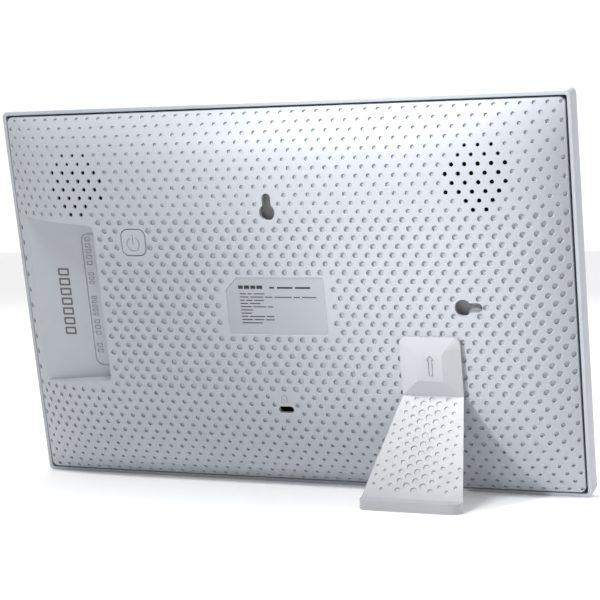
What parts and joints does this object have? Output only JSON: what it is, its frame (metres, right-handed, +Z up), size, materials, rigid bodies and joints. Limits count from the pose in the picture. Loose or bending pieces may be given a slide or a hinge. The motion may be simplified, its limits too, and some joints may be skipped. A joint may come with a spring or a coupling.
{
  "type": "digital photo frame",
  "caption": "White tabletop digital photo frame with a domed, dimpled back, a port pocket, wall keyholes, a lock slot and a slide-on stand.",
  "frame": {"origin": "on the table, under the middle of the bounding box, with the object standing on its stand", "axes": "+Z up; +Y out of the back, towards the foot of the stand; +X to the left seen from behind, along the width"},
  "size_m": [0.258, 0.0692, 0.1673],
  "materials": {
    "housing_white": "fine satin moulded plastic",
    "stand_white": "satin moulded plastic",
    "cover_glass": "glossy, printed black from behind",
    "tape_black": "matte foam tape",
    "flex_amber": "polyimide flexible circuit",
    "panel_dark": "glossy glass laminate, seen unlit",
    "film_white": "diffusing film",
    "guide_clear": "clear acrylic, dotted on the back",
    "led_yellow": "phosphor over white packages",
    "panel_frame_white": "matte",
    "sheet_steel": "galvanised sheet",
    "screw_steel": "nickel plated",
    "cup_grey": "matte",
    "label_grey": "matte film",
    "board_green": "solder mask",
    "chip_black": "matte moulded",
    "pad_blue": "soft",
    "sink_black": "black anodised",
    "coil_grey": "matte",
    "can_silver": "satin",
    "connector_ivory": "matte",
    "shield_steel": "tin plated",
    "antenna_black": "printed film",
    "cable_black": "satin",
    "jack_black": "matte",
    "contact_nickel": "nickel plated",
    "speaker_black": "matte",
    "cone_black": "matte paper and rubber",
    "gasket_black": "foam",
    "cable_red": "satin"
  },
  "bodies": {
    "frame": {"front_bezel": "housing_white", "touch_glass": "cover_glass", "glass_tape": "tape_black", "touch_flex": "flex_amber", "lcd_cell": "panel_dark", "optical_films": "film_white", "light_guide": "guide_clear", "reflector_sheet": "film_white", "led_strip": "led_yellow", "panel_frame": "panel_frame_white", "backlight_tray": "sheet_steel", "panel_bracket_left": "sheet_steel", "panel_bracket_right": "sheet_steel", "panel_screws": "screw_steel", "display_flex": "flex_amber", "backlight_flex": "flex_amber", "back_cover": "housing_white", "keyhole_cup_top": "cup_grey", "keyhole_cup_side": "cup_grey", "lock_plate": "sheet_steel", "rating_label": "label_grey", "main_board": "board_green", "board_screws": "screw_steel", "processor": "chip_black", "thermal_pad": "pad_blue", "heat_sink": "sink_black", "memory_chips": "chip_black", "storage_chip": "chip_black", "power_coils": "coil_grey", "capacitors": "can_silver", "board_connectors": "connector_ivory", "wifi_module": "shield_steel", "wifi_antenna": "antenna_black", "antenna_cable": "cable_black", "usb_shell": "shield_steel", "usb_tongue": "connector_ivory", "card_socket": "shield_steel", "dc_jack_body": "jack_black", "dc_jack_pin": "contact_nickel", "reset_switch": "shield_steel", "power_switch": "shield_steel", "speaker_left": "speaker_black", "speaker_right": "speaker_black", "cone_left": "cone_black", "cone_right": "cone_black", "speaker_gasket_left": "gasket_black", "speaker_gasket_right": "gasket_black", "speaker_screws": "screw_steel", "speaker_cable_left": "cable_red", "speaker_cable_right": "cable_red", "stand_plate": "sheet_steel"},
    "power_key": {"power_button": "housing_white", "power_plunger": "jack_black"},
    "reset_key": {"reset_plunger": "jack_black"},
    "back_stand": {"stand": "stand_white"}
  },
  "joints": [
    {"name": "stand_slide", "type": "slide", "parent": "frame", "child": "back_stand", "axis": [0, -0.2181, -0.9759], "range_m": [0, 0.0096]},
    {"name": "power_press", "type": "slide", "parent": "frame", "child": "power_key", "axis": [0, -0.9759, 0.2181], "range_m": [0, 0.0004], "stiffness_N_per_m": 3000, "springref_m": -0.0001},
    {"name": "reset_press", "type": "slide", "parent": "frame", "child": "reset_key", "axis": [-1, 0, 0], "range_m": [0, 0.00025], "stiffness_N_per_m": 4000, "springref_m": -0.0001}
  ]
}
